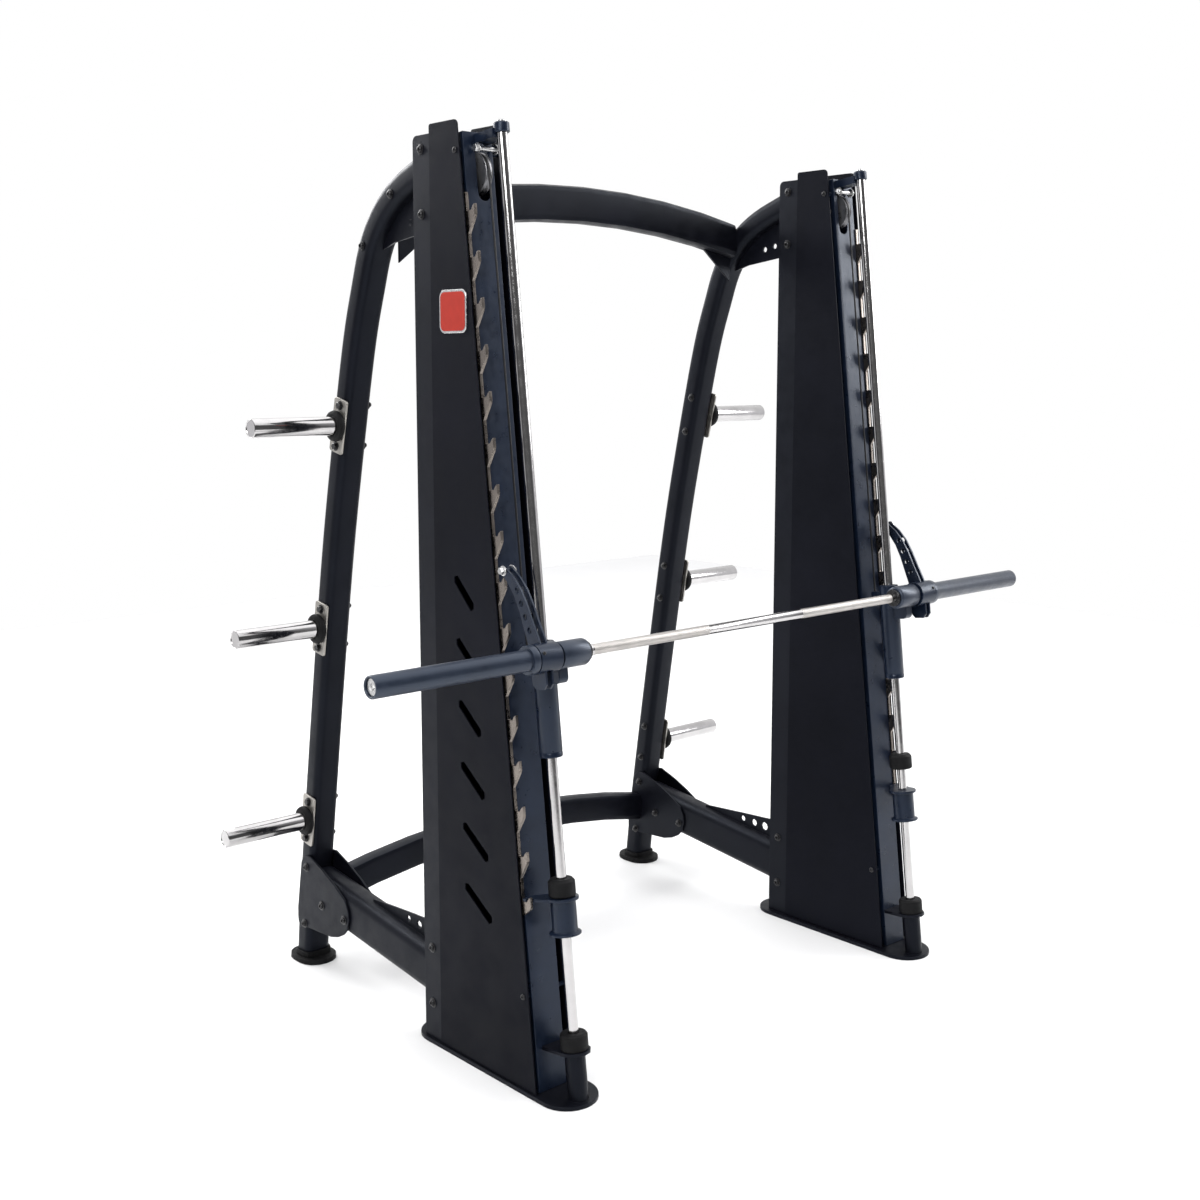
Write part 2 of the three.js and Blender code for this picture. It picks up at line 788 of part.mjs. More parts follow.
function pulleyAxle() {
  const head = 712;
  return turnX(
    [
      [0, UPRIGHT_IN - 7],
      [AXLE_R + 4, UPRIGHT_IN - 7],
      [AXLE_R + 4, UPRIGHT_IN - GAP],
      [AXLE_R, UPRIGHT_IN - GAP],
      [AXLE_R, UPRIGHT_OUT + GAP],
      [AXLE_R + 4, UPRIGHT_OUT + GAP],
      [AXLE_R + 4, head],
      [0, head],
    ],
    PULLEY_BACK,
    PULLEY_UP,
    16,
  );
}

function counterweight(backRunY) {
  const outline = roundedRect(WEIGHT.width, WEIGHT.depth, 4);
  return plateXY(outline, WEIGHT.bottom, WEIGHT.top, 2).translate(PULLEY_X, backRunY, 0);
}

// Cable from the carriage lug, up over the pulley and down to the counterweight.
function cable() {
  const centre = new THREE.Vector3(PULLEY_X, PULLEY_BACK, PULLEY_UP).applyMatrix4(leaning);
  const at = (angle) =>
    new THREE.Vector3(
      PULLEY_X,
      centre.y + WRAP_R * Math.cos(angle),
      centre.z + WRAP_R * Math.sin(angle),
    );
  const wrap = new THREE.CatmullRomCurve3(
    Array.from({ length: 13 }, (_, i) => at(((Math.PI - LEAN) * i) / 12)),
  );
  const lug = new THREE.Vector3(PULLEY_X, PULLEY_BACK - WRAP_R, LUG_TOP + GAP).applyMatrix4(leaning);
  const round = new THREE.Shape();
  round.absarc(0, 0, CABLE_R, 0, 2 * Math.PI);
  const straight = (from, to) => sweep(round, new THREE.LineCurve3(from, to), 1, 4);
  const frontTop = at(Math.PI - LEAN);
  const backTop = at(0);
  const overFront = frontTop.clone().add(frontTop.clone().sub(lug).normalize());
  const overBack = backTop.clone().add(new THREE.Vector3(0, 0, 1));
  const weightTop = new THREE.Vector3(PULLEY_X, backTop.y, WEIGHT.top + GAP);
  return carve([
    sweep(round, wrap, 14, 4),
    straight(lug, overFront),
    straight(weightTop, overBack),
  ]);
}

// ---------- safety stop ----------

// Turned catch on the rod, with a plate whose tongue rests on a hook of the rack.
function safetyStop() {
  const body = turnZ(
    [
      [0, STOP_BOTTOM],
      [38, STOP_BOTTOM],
      [38, STOP_BOTTOM + 5],
      [30, STOP_BOTTOM + 8],
      [30, STOP_TOP - STOP_PLATE + 1],
      [0, STOP_TOP - STOP_PLATE + 1],
    ],
    ROD_X,
    -ROD_FORWARD,
  );
  const disc = turnZ(solidProfile(38, STOP_TOP - STOP_PLATE, STOP_TOP), ROD_X, -ROD_FORWARD);
  const tongue = polygon([
    [ROD_X, -ROD_FORWARD - 25],
    [ROD_X + 40, -ROD_FORWARD + 5],
    [UPRIGHT_OUT - 1, -40],
    [UPRIGHT_OUT - 1, -18.5],
    [UPRIGHT_OUT + 10, -18.5],
    [UPRIGHT_OUT + 10, -7],
    [UPRIGHT_OUT - 26, -7],
    [ROD_X - 25, -ROD_FORWARD + 20],
  ]);
  const plate = plateXY(tongue, STOP_TOP - STOP_PLATE, STOP_TOP);
  const bore = turnZ(
    solidProfile(ROD_R + GAP, STOP_BOTTOM - 5, STOP_TOP + 5),
    ROD_X,
    -ROD_FORWARD,
  );
  return carve([body, disc, plate], [bore]);
}

function stopBumper(lift) {
  const bottom = STOP_TOP + lift;
  const top = bottom + STOP_BUMPER_H;
  return turnZ(
    [
      [32, bottom + 3],
      [32, top - 7],
      [26, top],
      [ROD_R + 0.5, top],
      [ROD_R + 0.5, bottom],
      [29, bottom],
      [32, bottom + 3],
    ],
    ROD_X,
    -ROD_FORWARD,
  );
}

// ---------- assembly ----------

function add(group, name, geometry, kind) {
  const mesh = new THREE.Mesh(geometry, FINISHES[kind]());
  mesh.name = name;
  group.add(mesh);
}

// One side of the machine, modelled at positive X.
function buildSide(side) {
  const standing = new THREE.Group();
  const rodFrame = new THREE.Group();
  rodFrame.applyMatrix4(leaning);
  standing.add(rodFrame);
  const innerFace = SIDE_X - POST_W / 2 - GAP - CORNER_PLATE_T;
  const outerFace = SIDE_X + POST_W / 2 + GAP;
  const pulleyCentre = new THREE.Vector3(0, PULLEY_BACK, PULLEY_UP).applyMatrix4(leaning);
  const backRunY = pulleyCentre.y + WRAP_R;

  add(standing, `base_plate_${side}`, basePlate(), "frame");
  add(rodFrame, `front_upright_${side}`, frontUpright(), "satin");
  add(standing, `rear_channel_${side}`, rearChannel(), "frame");
  add(standing, `outer_panel_${side}`, outerPanel(), "panel");
  add(standing, `inner_panel_${side}`, innerPanel(), "panel");
  add(rodFrame, `rack_plate_${side}`, rack(), "chrome");
  add(rodFrame, `guide_rod_${side}`, guideRod(), "chrome");
  add(rodFrame, `top_bracket_${side}`, topBracket(), "satin");
  add(rodFrame, `base_bumper_${side}`, baseBumper(), "rubber");

  add(standing, `rear_post_${side}`, rearPost(), "frame");
  add(standing, `side_rail_${side}`, sideRail(), "frame");
  add(standing, `post_foot_${side}`, foot(), "rubber");
  add(standing, `corner_plate_outer_${side}`, cornerPlate(outerFace), "frame");
  add(standing, `corner_plate_inner_${side}`, cornerPlate(innerFace), "frame");
  for (const place of HORNS) add(standing, `${place.name}_horn_${side}`, horn(place), "chrome");

  add(rodFrame, `carriage_${side}`, carriage(), "satin");
  add(rodFrame, `slide_bushing_${side}`, slideBushing(), "nylon");
  add(rodFrame, `hub_bearing_${side}`, hubBearing(), "iron");
  add(rodFrame, `bar_sleeve_${side}`, sleeve(), "satin");
  add(rodFrame, `rack_latch_${side}`, latch(), "satin");

  add(rodFrame, `cable_pulley_${side}`, pulley(), "zinc");
  add(rodFrame, `pulley_axle_${side}`, pulleyAxle(), "zinc");
  add(standing, `counterweight_${side}`, counterweight(backRunY), "iron");
  add(standing, `cable_${side}`, cable(), "cable");

  add(rodFrame, `safety_stop_${side}`, safetyStop(), "satin");
  add(rodFrame, `stop_bumper_${side}`, stopBumper(STOP_BUMPER_LIFT[side]), "rubber");
  return standing;
}

function buildMachine() {
  const machine = new THREE.Group();
  const right = buildSide("right");
  const left = buildSide("left");
  left.scale.x = -1;
  machine.add(right, left);
  const barFrame = new THREE.Group();
  barFrame.applyMatrix4(leaning);
  add(barFrame, "barbell", bar(), "chrome");
  machine.add(barFrame);
  const innerFace = SIDE_X - POST_W / 2 - 2 * GAP;
  const lower = {
    y: 535,
    crown: 267,
    end: 202,
    height: 90,
    depth: 60,
    half: innerFace - CORNER_PLATE_T,
    gussets: false,
  };
  const upper = {
    y: 130,
    crown: 2147,
    end: 2082,
    height: 100,
    depth: 60,
    half: innerFace,
    gussets: true,
  };
  add(machine, "lower_cross_beam", crossBeam(lower), "frame");
  add(machine, "upper_cross_beam", crossBeam(upper), "frame");
  return machine;
}

export default buildMachine();
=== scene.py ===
# Looks of the smith machine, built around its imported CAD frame. Metres, +Z up, front is -Y.
import math

import bmesh
import bpy
from mathutils import Matrix, Vector


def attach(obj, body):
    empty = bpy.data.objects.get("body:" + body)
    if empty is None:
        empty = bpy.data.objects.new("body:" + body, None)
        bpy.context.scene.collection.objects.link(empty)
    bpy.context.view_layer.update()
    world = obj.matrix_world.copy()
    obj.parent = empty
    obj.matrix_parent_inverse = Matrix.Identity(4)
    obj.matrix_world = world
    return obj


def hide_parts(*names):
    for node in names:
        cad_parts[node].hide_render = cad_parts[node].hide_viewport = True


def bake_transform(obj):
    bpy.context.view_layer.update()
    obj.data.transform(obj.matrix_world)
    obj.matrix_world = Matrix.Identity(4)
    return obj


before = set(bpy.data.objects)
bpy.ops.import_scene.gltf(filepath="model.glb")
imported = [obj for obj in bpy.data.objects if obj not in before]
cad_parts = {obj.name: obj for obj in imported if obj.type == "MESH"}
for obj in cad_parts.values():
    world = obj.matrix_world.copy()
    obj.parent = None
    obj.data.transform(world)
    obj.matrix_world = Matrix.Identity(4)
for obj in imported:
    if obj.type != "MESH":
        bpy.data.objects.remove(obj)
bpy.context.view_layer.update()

SIDES = (("left", -1), ("right", 1))
X_AXIS = Vector((1, 0, 0))
Z_AXIS = Vector((0, 0, 1))

# The leaning column frame: FORWARD stands square on the upright's face, UP runs along the rods.
LEAN = math.radians(6.63)
FACE_Y = -0.523
BASE_T = 0.010
UP = Vector((0, math.sin(LEAN), math.cos(LEAN)))
FORWARD = Vector((0, -math.cos(LEAN), math.sin(LEAN)))

# Driving places and sizes; x is measured outward from the middle of the machine.
POST_X = 0.653
PANEL_IN = 0.595
PANEL_OUT = 0.721
ROD_X, ROD_D = 0.651, 0.075
ROD_R = 0.0125
BAR_D, BAR_U = 0.1417, 1.0335
PULLEY_X, PULLEY_D, PULLEY_U = 0.655, -0.025, 2.150
WRAP_R = 0.0473
SLEEVE_R = 0.025
SLEEVE_END = 1.168
COLLAR_OUT = 0.757


def at(x, d, u):
    """A point in the leaning column frame: d in front of the upright's face, u up the rods."""
    return Vector((x, FACE_Y, BASE_T)) + FORWARD * d + UP * u


# ---------- materials ----------

def noise(tree, coords, scale, detail):
    """Noise in the object's own coordinates."""
    node = tree.nodes.new("ShaderNodeTexNoise")
    node.inputs["Scale"].default_value = scale
    node.inputs["Detail"].default_value = detail
    tree.links.new(coords.outputs["Object"], node.inputs["Vector"])
    return node


def surface(name, color, rough, metallic=0.0, grain=900, bump=0.12, spread=0.25, smudge=9,
            rough_spread=0.12, specular=0.5, tint=(1, 1, 1)):
    """Base colour in soft clouds, roughness in finer smudges, and a fine grain as bump."""
    mat = bpy.data.materials.new(name)
    mat.use_nodes = True
    tree = mat.node_tree
    shader = tree.nodes["Principled BSDF"]
    shader.inputs["Metallic"].default_value = metallic
    shader.inputs["Specular IOR Level"].default_value = specular
    shader.inputs["Specular Tint"].default_value = (*tint, 1)
    coords = tree.nodes.new("ShaderNodeTexCoord")

    clouds = noise(tree, coords, smudge, 6)
    clouds.inputs["Roughness"].default_value = 0.65
    ramp = tree.nodes.new("ShaderNodeValToRGB")
    shades = (0.3, 1 - spread), (0.7, 1 + spread)
    for element, (place, shade) in zip(ramp.color_ramp.elements, shades):
        element.position = place
        element.color = (*(min(1.0, c * shade) for c in color), 1)
    tree.links.new(clouds.outputs["Fac"], ramp.inputs["Fac"])
    tree.links.new(ramp.outputs["Color"], shader.inputs["Base Color"])

    smudges = noise(tree, coords, smudge * 4, 8)
    ranged = tree.nodes.new("ShaderNodeMapRange")
    ranged.inputs["From Min"].default_value = 0.3
    ranged.inputs["From Max"].default_value = 0.7
    ranged.inputs["To Min"].default_value = max(0.03, rough - rough_spread)
    ranged.inputs["To Max"].default_value = min(1.0, rough + rough_spread)
    tree.links.new(smudges.outputs["Fac"], ranged.inputs["Value"])
    tree.links.new(ranged.outputs["Result"], shader.inputs["Roughness"])

    fine = noise(tree, coords, grain, 3)
    relief = tree.nodes.new("ShaderNodeBump")
    relief.inputs["Strength"].default_value = bump
    relief.inputs["Distance"].default_value = 0.0006
    tree.links.new(fine.outputs["Fac"], relief.inputs["Height"])
    tree.links.new(relief.outputs["Normal"], shader.inputs["Normal"])
    return mat


# BLUE tints the highlights on the black coats: a painted blue reflection.
BLUE = (0.72, 0.82, 1.0)
FRAME = surface("powder_coat", (0.0034, 0.0036, 0.0060), rough=0.42, grain=1300, bump=0.22,
                spread=0.35, smudge=7, rough_spread=0.08, specular=0.15, tint=BLUE)
PANEL = surface("panel_coat", (0.0036, 0.0038, 0.0064), rough=0.48, grain=1500, bump=0.3,
                spread=0.3, smudge=4, rough_spread=0.08, specular=0.07, tint=BLUE)
# satin_black's dark colour is real; the blue in it is a painted steel-blue reflection on the black satin.
SATIN = surface("satin_black", (0.0050, 0.0090, 0.0200), rough=0.33, grain=1800, bump=0.1,
                spread=0.3, smudge=12, rough_spread=0.07, specular=0.36, tint=BLUE)
SLEEVE = surface("sleeve_coat", (0.0130, 0.0180, 0.0300), rough=0.36, grain=1800, bump=0.1,
                 spread=0.2, smudge=12, rough_spread=0.07, specular=0.6, tint=BLUE)
CHROME = surface("chrome", (0.50, 0.49, 0.49), rough=0.13, metallic=1.0, grain=700, bump=0.03,
                 spread=0.12, smudge=14, rough_spread=0.05)
KNURL = surface("knurled_chrome", (0.46, 0.44, 0.42), rough=0.38, metallic=1.0, grain=1900, bump=0.9,
                spread=0.1, smudge=30, rough_spread=0.06)
# plated_steel is darker than bright plating: painted shade standing in for the dark reflections on the
# rack's teeth.
RACK = surface("plated_steel", (0.21, 0.185, 0.165), rough=0.3, metallic=1.0, grain=900, bump=0.03,
               spread=0.15, smudge=20, rough_spread=0.08)
ZINC = surface("zinc", (0.34, 0.325, 0.30), rough=0.4, metallic=0.85, grain=600, bump=0.15,
               spread=0.25, smudge=40, rough_spread=0.12)
BOLT = surface("black_oxide", (0.008, 0.008, 0.0095), rough=0.3, metallic=0.2, grain=1200, bump=0.12,
               spread=0.3, smudge=60, rough_spread=0.1)
STEEL = surface("bright_fastener", (0.5, 0.5, 0.5), rough=0.28, metallic=1.0, grain=900, bump=0.08,
                spread=0.1, smudge=60, rough_spread=0.1)
PULLEY = surface("pulley_steel", (0.20, 0.20, 0.21), rough=0.35, metallic=0.9, grain=800, bump=0.1,
                 spread=0.2, smudge=30, rough_spread=0.1)
RUBBER = surface("rubber", (0.0042, 0.0042, 0.0048), rough=0.62, grain=1100, bump=0.35,
                 spread=0.35, smudge=30, rough_spread=0.1, specular=0.16)
IRON = surface("cast_iron", (0.02, 0.02, 0.022), rough=0.62, metallic=0.2, grain=420, bump=0.6,
               spread=0.3, smudge=25, rough_spread=0.1)
NYLON = surface("nylon", (0.4, 0.4, 0.39), rough=0.45, grain=1200, bump=0.1,
                spread=0.1, smudge=30, rough_spread=0.08)
CABLE = surface("cable_jacket", (0.006, 0.006, 0.007), rough=0.38, grain=1500, bump=0.1,
                spread=0.3, smudge=40, rough_spread=0.08, specular=0.4)
BADGE = surface("badge_enamel", (0.34, 0.022, 0.012), rough=0.35, grain=900, bump=0.04,
                spread=0.08, smudge=60, rough_spread=0.05, specular=0.2)


def dress(obj, mat):
    obj.data.materials.clear()
    obj.data.materials.append(mat)


def bevel_edges(obj, width, segments=2, angle=30):
    bevel = obj.modifiers.new("edges", "BEVEL")
    bevel.width = width
    bevel.segments = segments
    bevel.limit_method = "ANGLE"
    bevel.angle_limit = math.radians(angle)


def soften(obj, width=0.0012):
    """Rounds the edges and smooths the shading, without touching the mesh's own vertices."""
    for polygon in obj.data.polygons:
        polygon.use_smooth = True
    weld = obj.modifiers.new("weld", "WELD")
    weld.merge_threshold = 0.00002
    bevel_edges(obj, width, angle=35)
    normals = obj.modifiers.new("normals", "WEIGHTED_NORMAL")
    normals.keep_sharp = True


# ---------- mesh building ----------

def new_object(name, bm, mat, body):
    """Turns a finished bmesh into an object that rides on body; a piece given no body rides on none."""
    bmesh.ops.recalc_face_normals(bm, faces=bm.faces)
    mesh = bpy.data.meshes.new(name)
    bm.to_mesh(mesh)
    bm.free()
    obj = bpy.data.objects.new(name, mesh)
    bpy.context.scene.collection.objects.link(obj)
    mesh.materials.append(mat)
    for polygon in mesh.polygons:
        polygon.use_smooth = True
    mesh.set_sharp_from_angle(angle=math.radians(38))
    if body:
        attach(obj, body)
    return obj


def axis_matrix(origin, axis):
    """Local Z along axis, with its origin at origin."""
    axis = axis.normalized()
    reference = Z_AXIS if abs(axis.z) < 0.9 else X_AXIS
    side = reference.cross(axis).normalized()
    matrix = Matrix((side, axis.cross(side), axis)).transposed().to_4x4()
    matrix.translation = origin
    return matrix


def circle(radius, count):
    """Points of a circle round (0, 0)."""
    angles = (2 * math.pi * i / count for i in range(count))
    return [(radius * math.cos(a), radius * math.sin(a)) for a in angles]


def lathe(bm, profile, origin, axis, segments=48):
    """Turns (radius, along) pairs about an axis; the ends close where the radius is 0."""
    matrix = axis_matrix(origin, axis)
    closed = profile[0] == profile[-1]
    rings = []
    for radius, along in profile[:-1] if closed else profile:
        spots = circle(radius, segments) if radius else [(0, 0)]
        rings.append([bm.verts.new(matrix @ Vector((x, y, along))) for x, y in spots])
    if closed:
        rings.append(rings[0])
    for a, b in zip(rings, rings[1:]):
        if len(a) == len(b) == 1:
            continue
        for i in range(segments):
            j = (i + 1) % segments
            if len(a) == 1:
                bm.faces.new((a[0], b[i], b[j]))
            elif len(b) == 1:
                bm.faces.new((a[i], b[0], a[j]))
            else:
                bm.faces.new((a[i], b[i], b[j], a[j]))


def join_rings(bm, rings):
    """Closes a stack of equal loops into one solid."""
    bm.faces.new(rings[0])
    bm.faces.new(rings[-1])
    count = len(rings[0])
    for a, b in zip(rings, rings[1:]):
        for i in range(count):
            j = (i + 1) % count
            bm.faces.new((a[i], a[j], b[j], b[i]))


def rounded_rect(width, height, radius, steps=6):
    points = []
    for cx, cy, start in ((1, 1, 0), (-1, 1, 90), (-1, -1, 180), (1, -1, 270)):
        for i in range(steps + 1):
            angle = math.radians(start + 90 * i / steps)
            x = cx * (width / 2 - radius) + radius * math.cos(angle)
            y = cy * (height / 2 - radius) + radius * math.sin(angle)
            points.append((x, y))
    return points


def smooth_path(points, steps, fineness=24):
    """Points spaced evenly along a smooth curve through the given ones."""
    ends = [points[0] * 2 - points[1]], [points[-1] * 2 - points[-2]]
    knots = ends[0] + points + ends[1]
    dense = []
    for p0, p1, p2, p3 in zip(knots, knots[1:], knots[2:], knots[3:]):
        for k in range(fineness):
            t = k / fineness
            bend = (2 * p0 - 5 * p1 + 4 * p2 - p3) * t ** 2 + (3 * p1 - p0 - 3 * p2 + p3) * t ** 3
            dense.append(0.5 * (2 * p1 + (p2 - p0) * t + bend))
    dense.append(points[-1])
    lengths = [0.0]
    for a, b in zip(dense, dense[1:]):
        lengths.append(lengths[-1] + (b - a).length)
    path = []
    j = 0
    for i in range(steps + 1):
        wanted = lengths[-1] * i / steps
        while j < len(dense) - 2 and lengths[j + 1] < wanted:
            j += 1
        share = (wanted - lengths[j]) / (lengths[j + 1] - lengths[j])
        path.append(dense[j].lerp(dense[j + 1], share))
    return path


def sweep(bm, path, section, trim=None):
    """A closed tube of this section along a path in a plane square to X."""
    rings = []
    for i, point in enumerate(path):
        tangent = (path[min(i + 1, len(path) - 1)] - path[max(i - 1, 0)]).normalized()
        normal = X_AXIS.cross(tangent).normalized()
        ring = []
        for a, b in section:
            place = point + X_AXIS * a + normal * b
            ring.append(bm.verts.new(trim(place, tangent) if trim else place))
        rings.append(ring)
    join_rings(bm, rings)


def slab(bm, origin, axis, width, height, radius, depth):
    """An upright rounded plate standing on origin along axis, with its outer edge eased."""
    side = Z_AXIS.cross(axis).normalized()
    rings = []
    for inset, rise in ((0, 0), (0, depth * 0.6), (depth * 0.5, depth)):
        section = rounded_rect(width - 2 * inset, height - 2 * inset, radius - inset)
        rings.append([bm.verts.new(origin + side * a + Z_AXIS * b + axis * rise) for a, b in section])
    join_rings(bm, rings)


def holed_plate(bm, outline, holes, x0, x1):
    """A flat plate square to X, from its (y, z) outline and (y, z, radius) holes."""
    loops = [outline] + [[(y + a, z + b) for a, b in circle(r, 24)] for y, z, r in holes]
    edges = []
    for loop in loops:
        ring = [bm.verts.new((x0, y, z)) for y, z in loop]
        edges += [bm.edges.new((a, b)) for a, b in zip(ring, ring[1:] + ring[:1])]
    filled = bmesh.ops.triangle_fill(bm, use_beauty=True, use_dissolve=True, edges=edges)
    flat = [g for g in filled["geom"] if isinstance(g, bmesh.types.BMFace)]
    raised = bmesh.ops.extrude_face_region(bm, geom=flat)
    moved = [g for g in raised["geom"] if isinstance(g, bmesh.types.BMVert)]
    bmesh.ops.translate(bm, verts=moved, vec=(x1 - x0, 0, 0))


# ---------- fasteners ----------

# Heads as shares of their radius and height; the button's last points are its socket.
BUTTON_HEAD = ((0, 0), (1, 0), (1, 0.35), (0.86, 0.75), (0.6, 1), (0.42, 1), (0.38, 0.4), (0, 0.4))
HEX_HEAD = ((0, 0), (1, 0), (1.1, 0.1), (1.1, 0.85), (0.95, 1), (0, 1))
DOME_SHARE = 0.86
WASHER_T = 0.002
WASHER_SINK = 0.0002


def dome_head(radius, height):
    """The skirt of a cap nut under its round crown."""
    crown = radius * DOME_SHARE
    base = height * 0.5
    arc = [(crown * math.cos(a), base + crown * math.sin(a)) for a in (0.1, 0.5, 0.9, 1.25)]
    return [(0, 0), (radius, 0), (radius, base), *arc, (0, base + crown)]


def bolt(bm, origin, axis, radius=0.0085, height=0.006, washer=True, kind="button"):
    """A button, dome or hex head with a washer under it, standing on origin along axis."""
    start = origin
    if washer:
        rim = radius * 1.45
        lathe(bm, [(0, 0), (radius * 1.42, 0), (rim, 0.0004), (rim, 0.0016), (radius * 1.3, WASHER_T),
                   (0, WASHER_T)], origin, axis, 24)
        start = origin + axis.normalized() * (WASHER_T - WASHER_SINK)
    if kind == "dome":
        lathe(bm, dome_head(radius, height), start, axis, 24)
    elif kind == "hex":
        lathe(bm, [(radius * r, height * h) for r, h in HEX_HEAD], start, axis, 6)
    else:
        lathe(bm, [(radius * r, height * h) for r, h in BUTTON_HEAD], start, axis, 20)


def rod_profile(radius, start, end, chamfer=0.0015):
    """A plain rod with chamfered ends."""
    return [(0, start), (radius - chamfer, start), (radius, start + chamfer),
            (radius, end - chamfer), (radius - chamfer, end), (0, end)]


# ---------- rear post ----------

# Centre line of the bent tube as (y, z), from the foot to the channel behind the column.
POST_PATH = [
    (0.566, 0.016), (0.536, 0.260), (0.455, 0.780), (0.387, 1.180), (0.324, 1.481), (0.259, 1.756),
    (0.210, 1.905), (0.172, 2.000), (0.112, 2.078), (0.030, 2.134), (-0.096, 2.183),
]
CHANNEL_BACK = -0.0847
POST_WIDTH, POST_DEPTH, POST_CORNER = 0.078, 0.065, 0.020
GUSSET_T = 0.006
GUSSET_OUTLINE = [
    (CHANNEL_BACK, 2.030), (0.084, 2.008), (0.150, 1.990), (0.128, 2.040), (0.05, 2.098),
    (CHANNEL_BACK, 2.150),
]
GUSSET_HOLES = [(0.016, 2.052, 0.008), (-0.023, 2.060, 0.008)]


def stop_at_channel(place, tangent):
    """Ends the tube flat on the back of the channel."""
    if place.y < CHANNEL_BACK:
        return place + tangent * ((CHANNEL_BACK - place.y) / tangent.y)
    return place


def make_post(side, sign):
    path = smooth_path([Vector((sign * POST_X, y, z)) for y, z in POST_PATH], 90)
    bm = bmesh.new()
    sweep(bm, path, rounded_rect(POST_WIDTH, POST_DEPTH, POST_CORNER), stop_at_channel)
    post = new_object(f"post_tube_{side}", bm, FRAME, "stand")
    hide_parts(f"rear_post_{side}")
    bm = bmesh.new()
    inner, outer = POST_X - GUSSET_T / 2, POST_X + GUSSET_T / 2
    holed_plate(bm, GUSSET_OUTLINE, GUSSET_HOLES, sign * inner, sign * outer)
    new_object(f"post_gusset_{side}", bm, FRAME, "stand")


# ---------- storage horns ----------

# Name, y and z of the axis, and how far the post leans there in degrees.
HORNS = (("upper", 0.300, 1.546, 13.3), ("middle", 0.415, 0.992, 9.7), ("lower", 0.505, 0.432, 8.9))
HORN_FACE = 0.6923
HORN_TIP = 0.954
HORN_PLATE_W, HORN_PLATE_H, HORN_PLATE_T = 0.060, 0.145, 0.005
POST_INNER_FACE = 0.6140
HORN_BOLT_STEP = 0.055
HORN_NUT_STEP = 0.0555
RING_BORE = 0.0252


def make_horn_pin(side, sign, name, centre):
    root = HORN_FACE + 0.004
    bm = bmesh.new()
    lathe(bm, [(0, root), (SLEEVE_R, root), (SLEEVE_R, HORN_TIP - 0.0025), (0.0243, HORN_TIP - 0.0008),
               (0.0228, HORN_TIP), (0.0218, HORN_TIP - 0.0008), (0.0212, HORN_TIP - 0.0018),
               (0, HORN_TIP - 0.0018)], centre, X_AXIS * sign, 56)
    pin = new_object(f"{name}_horn_pin_{side}", bm, CHROME, "stand")
    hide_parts(f"{name}_horn_{side}")


def make_horn_plate(side, sign, name, centre, tilt):
    section = rounded_rect(HORN_PLATE_W, HORN_PLATE_H, 0.008, 4)
    bm = bmesh.new()
    rings = []
    for x in (HORN_FACE, HORN_FACE + HORN_PLATE_T):
        seat = centre + X_AXIS * sign * x
        rings.append([bm.verts.new(tilt @ Vector((0, a, b)) + seat) for a, b in section])
    join_rings(bm, rings)
    plate = new_object(f"{name}_horn_plate_{side}", bm, ZINC, "stand")
    bevel_edges(plate, 0.0009)


def make_horn_ring(side, sign, name, centre):
    """Rubber ring at the root of the horn, which the first plate rests against."""
    start = HORN_FACE + HORN_PLATE_T + 0.0005
    section = [(RING_BORE, 0), (0.036, 0), (0.040, 0.004), (0.041, 0.010), (0.039, 0.016), (0.034, 0.019),
               (0.027, 0.020), (RING_BORE, 0.019), (RING_BORE, 0)]
    bm = bmesh.new()
    lathe(bm, [(r, start + along) for r, along in section], centre, X_AXIS * sign)
    new_object(f"{name}_horn_ring_{side}", bm, RUBBER, "stand")


def make_horn_bolts(side, sign, name, centre, tilt):
    out = X_AXIS * sign
    along = tilt @ Z_AXIS
    bm = bmesh.new()
    for end in (-1, 1):
        head = centre + out * (HORN_FACE + HORN_PLATE_T) + along * HORN_BOLT_STEP * end
        bolt(bm, head, out, height=0.007, kind="hex")
    for end in (-1, 1):
        nut = centre + out * POST_INNER_FACE + along * HORN_NUT_STEP * end
        bolt(bm, nut, -out, height=0.007, kind="dome")
    new_object(f"{name}_horn_bolts_{side}", bm, BOLT, "stand")


def make_horn(side, sign, name, y, z, lean):
    centre = Vector((0, y, z))
    tilt = Matrix.Rotation(math.radians(lean), 4, "X")
    make_horn_pin(side, sign, name, centre)
    make_horn_plate(side, sign, name, centre, tilt)
    make_horn_ring(side, sign, name, centre)
    make_horn_bolts(side, sign, name, centre, tilt)


# ---------- column ----------

# Outer and inner seats of the bolts, and where the bolts go.
CORNER_OUT, CORNER_IN = 0.6983, 0.6077
CORNER_BOLTS = ((0.515, 0.291), (0.437, 0.199), (0.324, 0.189), (0.532, 0.121))
CHANNEL_OUT, CHANNEL_IN = 0.7177, 0.5983
CHANNEL_BOLT_Y = -0.118
CHANNEL_BOLTS = (2.207, 2.057, 0.249, 0.104)
POST_OUT = 0.6925
POST_BOLTS = ((0.047, 2.120), (0.176, 2.003))
PANEL_SCREW_D = -0.014
PANEL_SCREWS = (0.232, 2.198)
ROD_BOTTOM, ROD_TOP = 0.0163, 2.238
ROD_BOLT_U = 2.247
GUARD_D, GUARD_U = 0.0145, 2.200
GUARD_IN, GUARD_OUT = 0.627, 0.677
GUARD_R = 0.0055


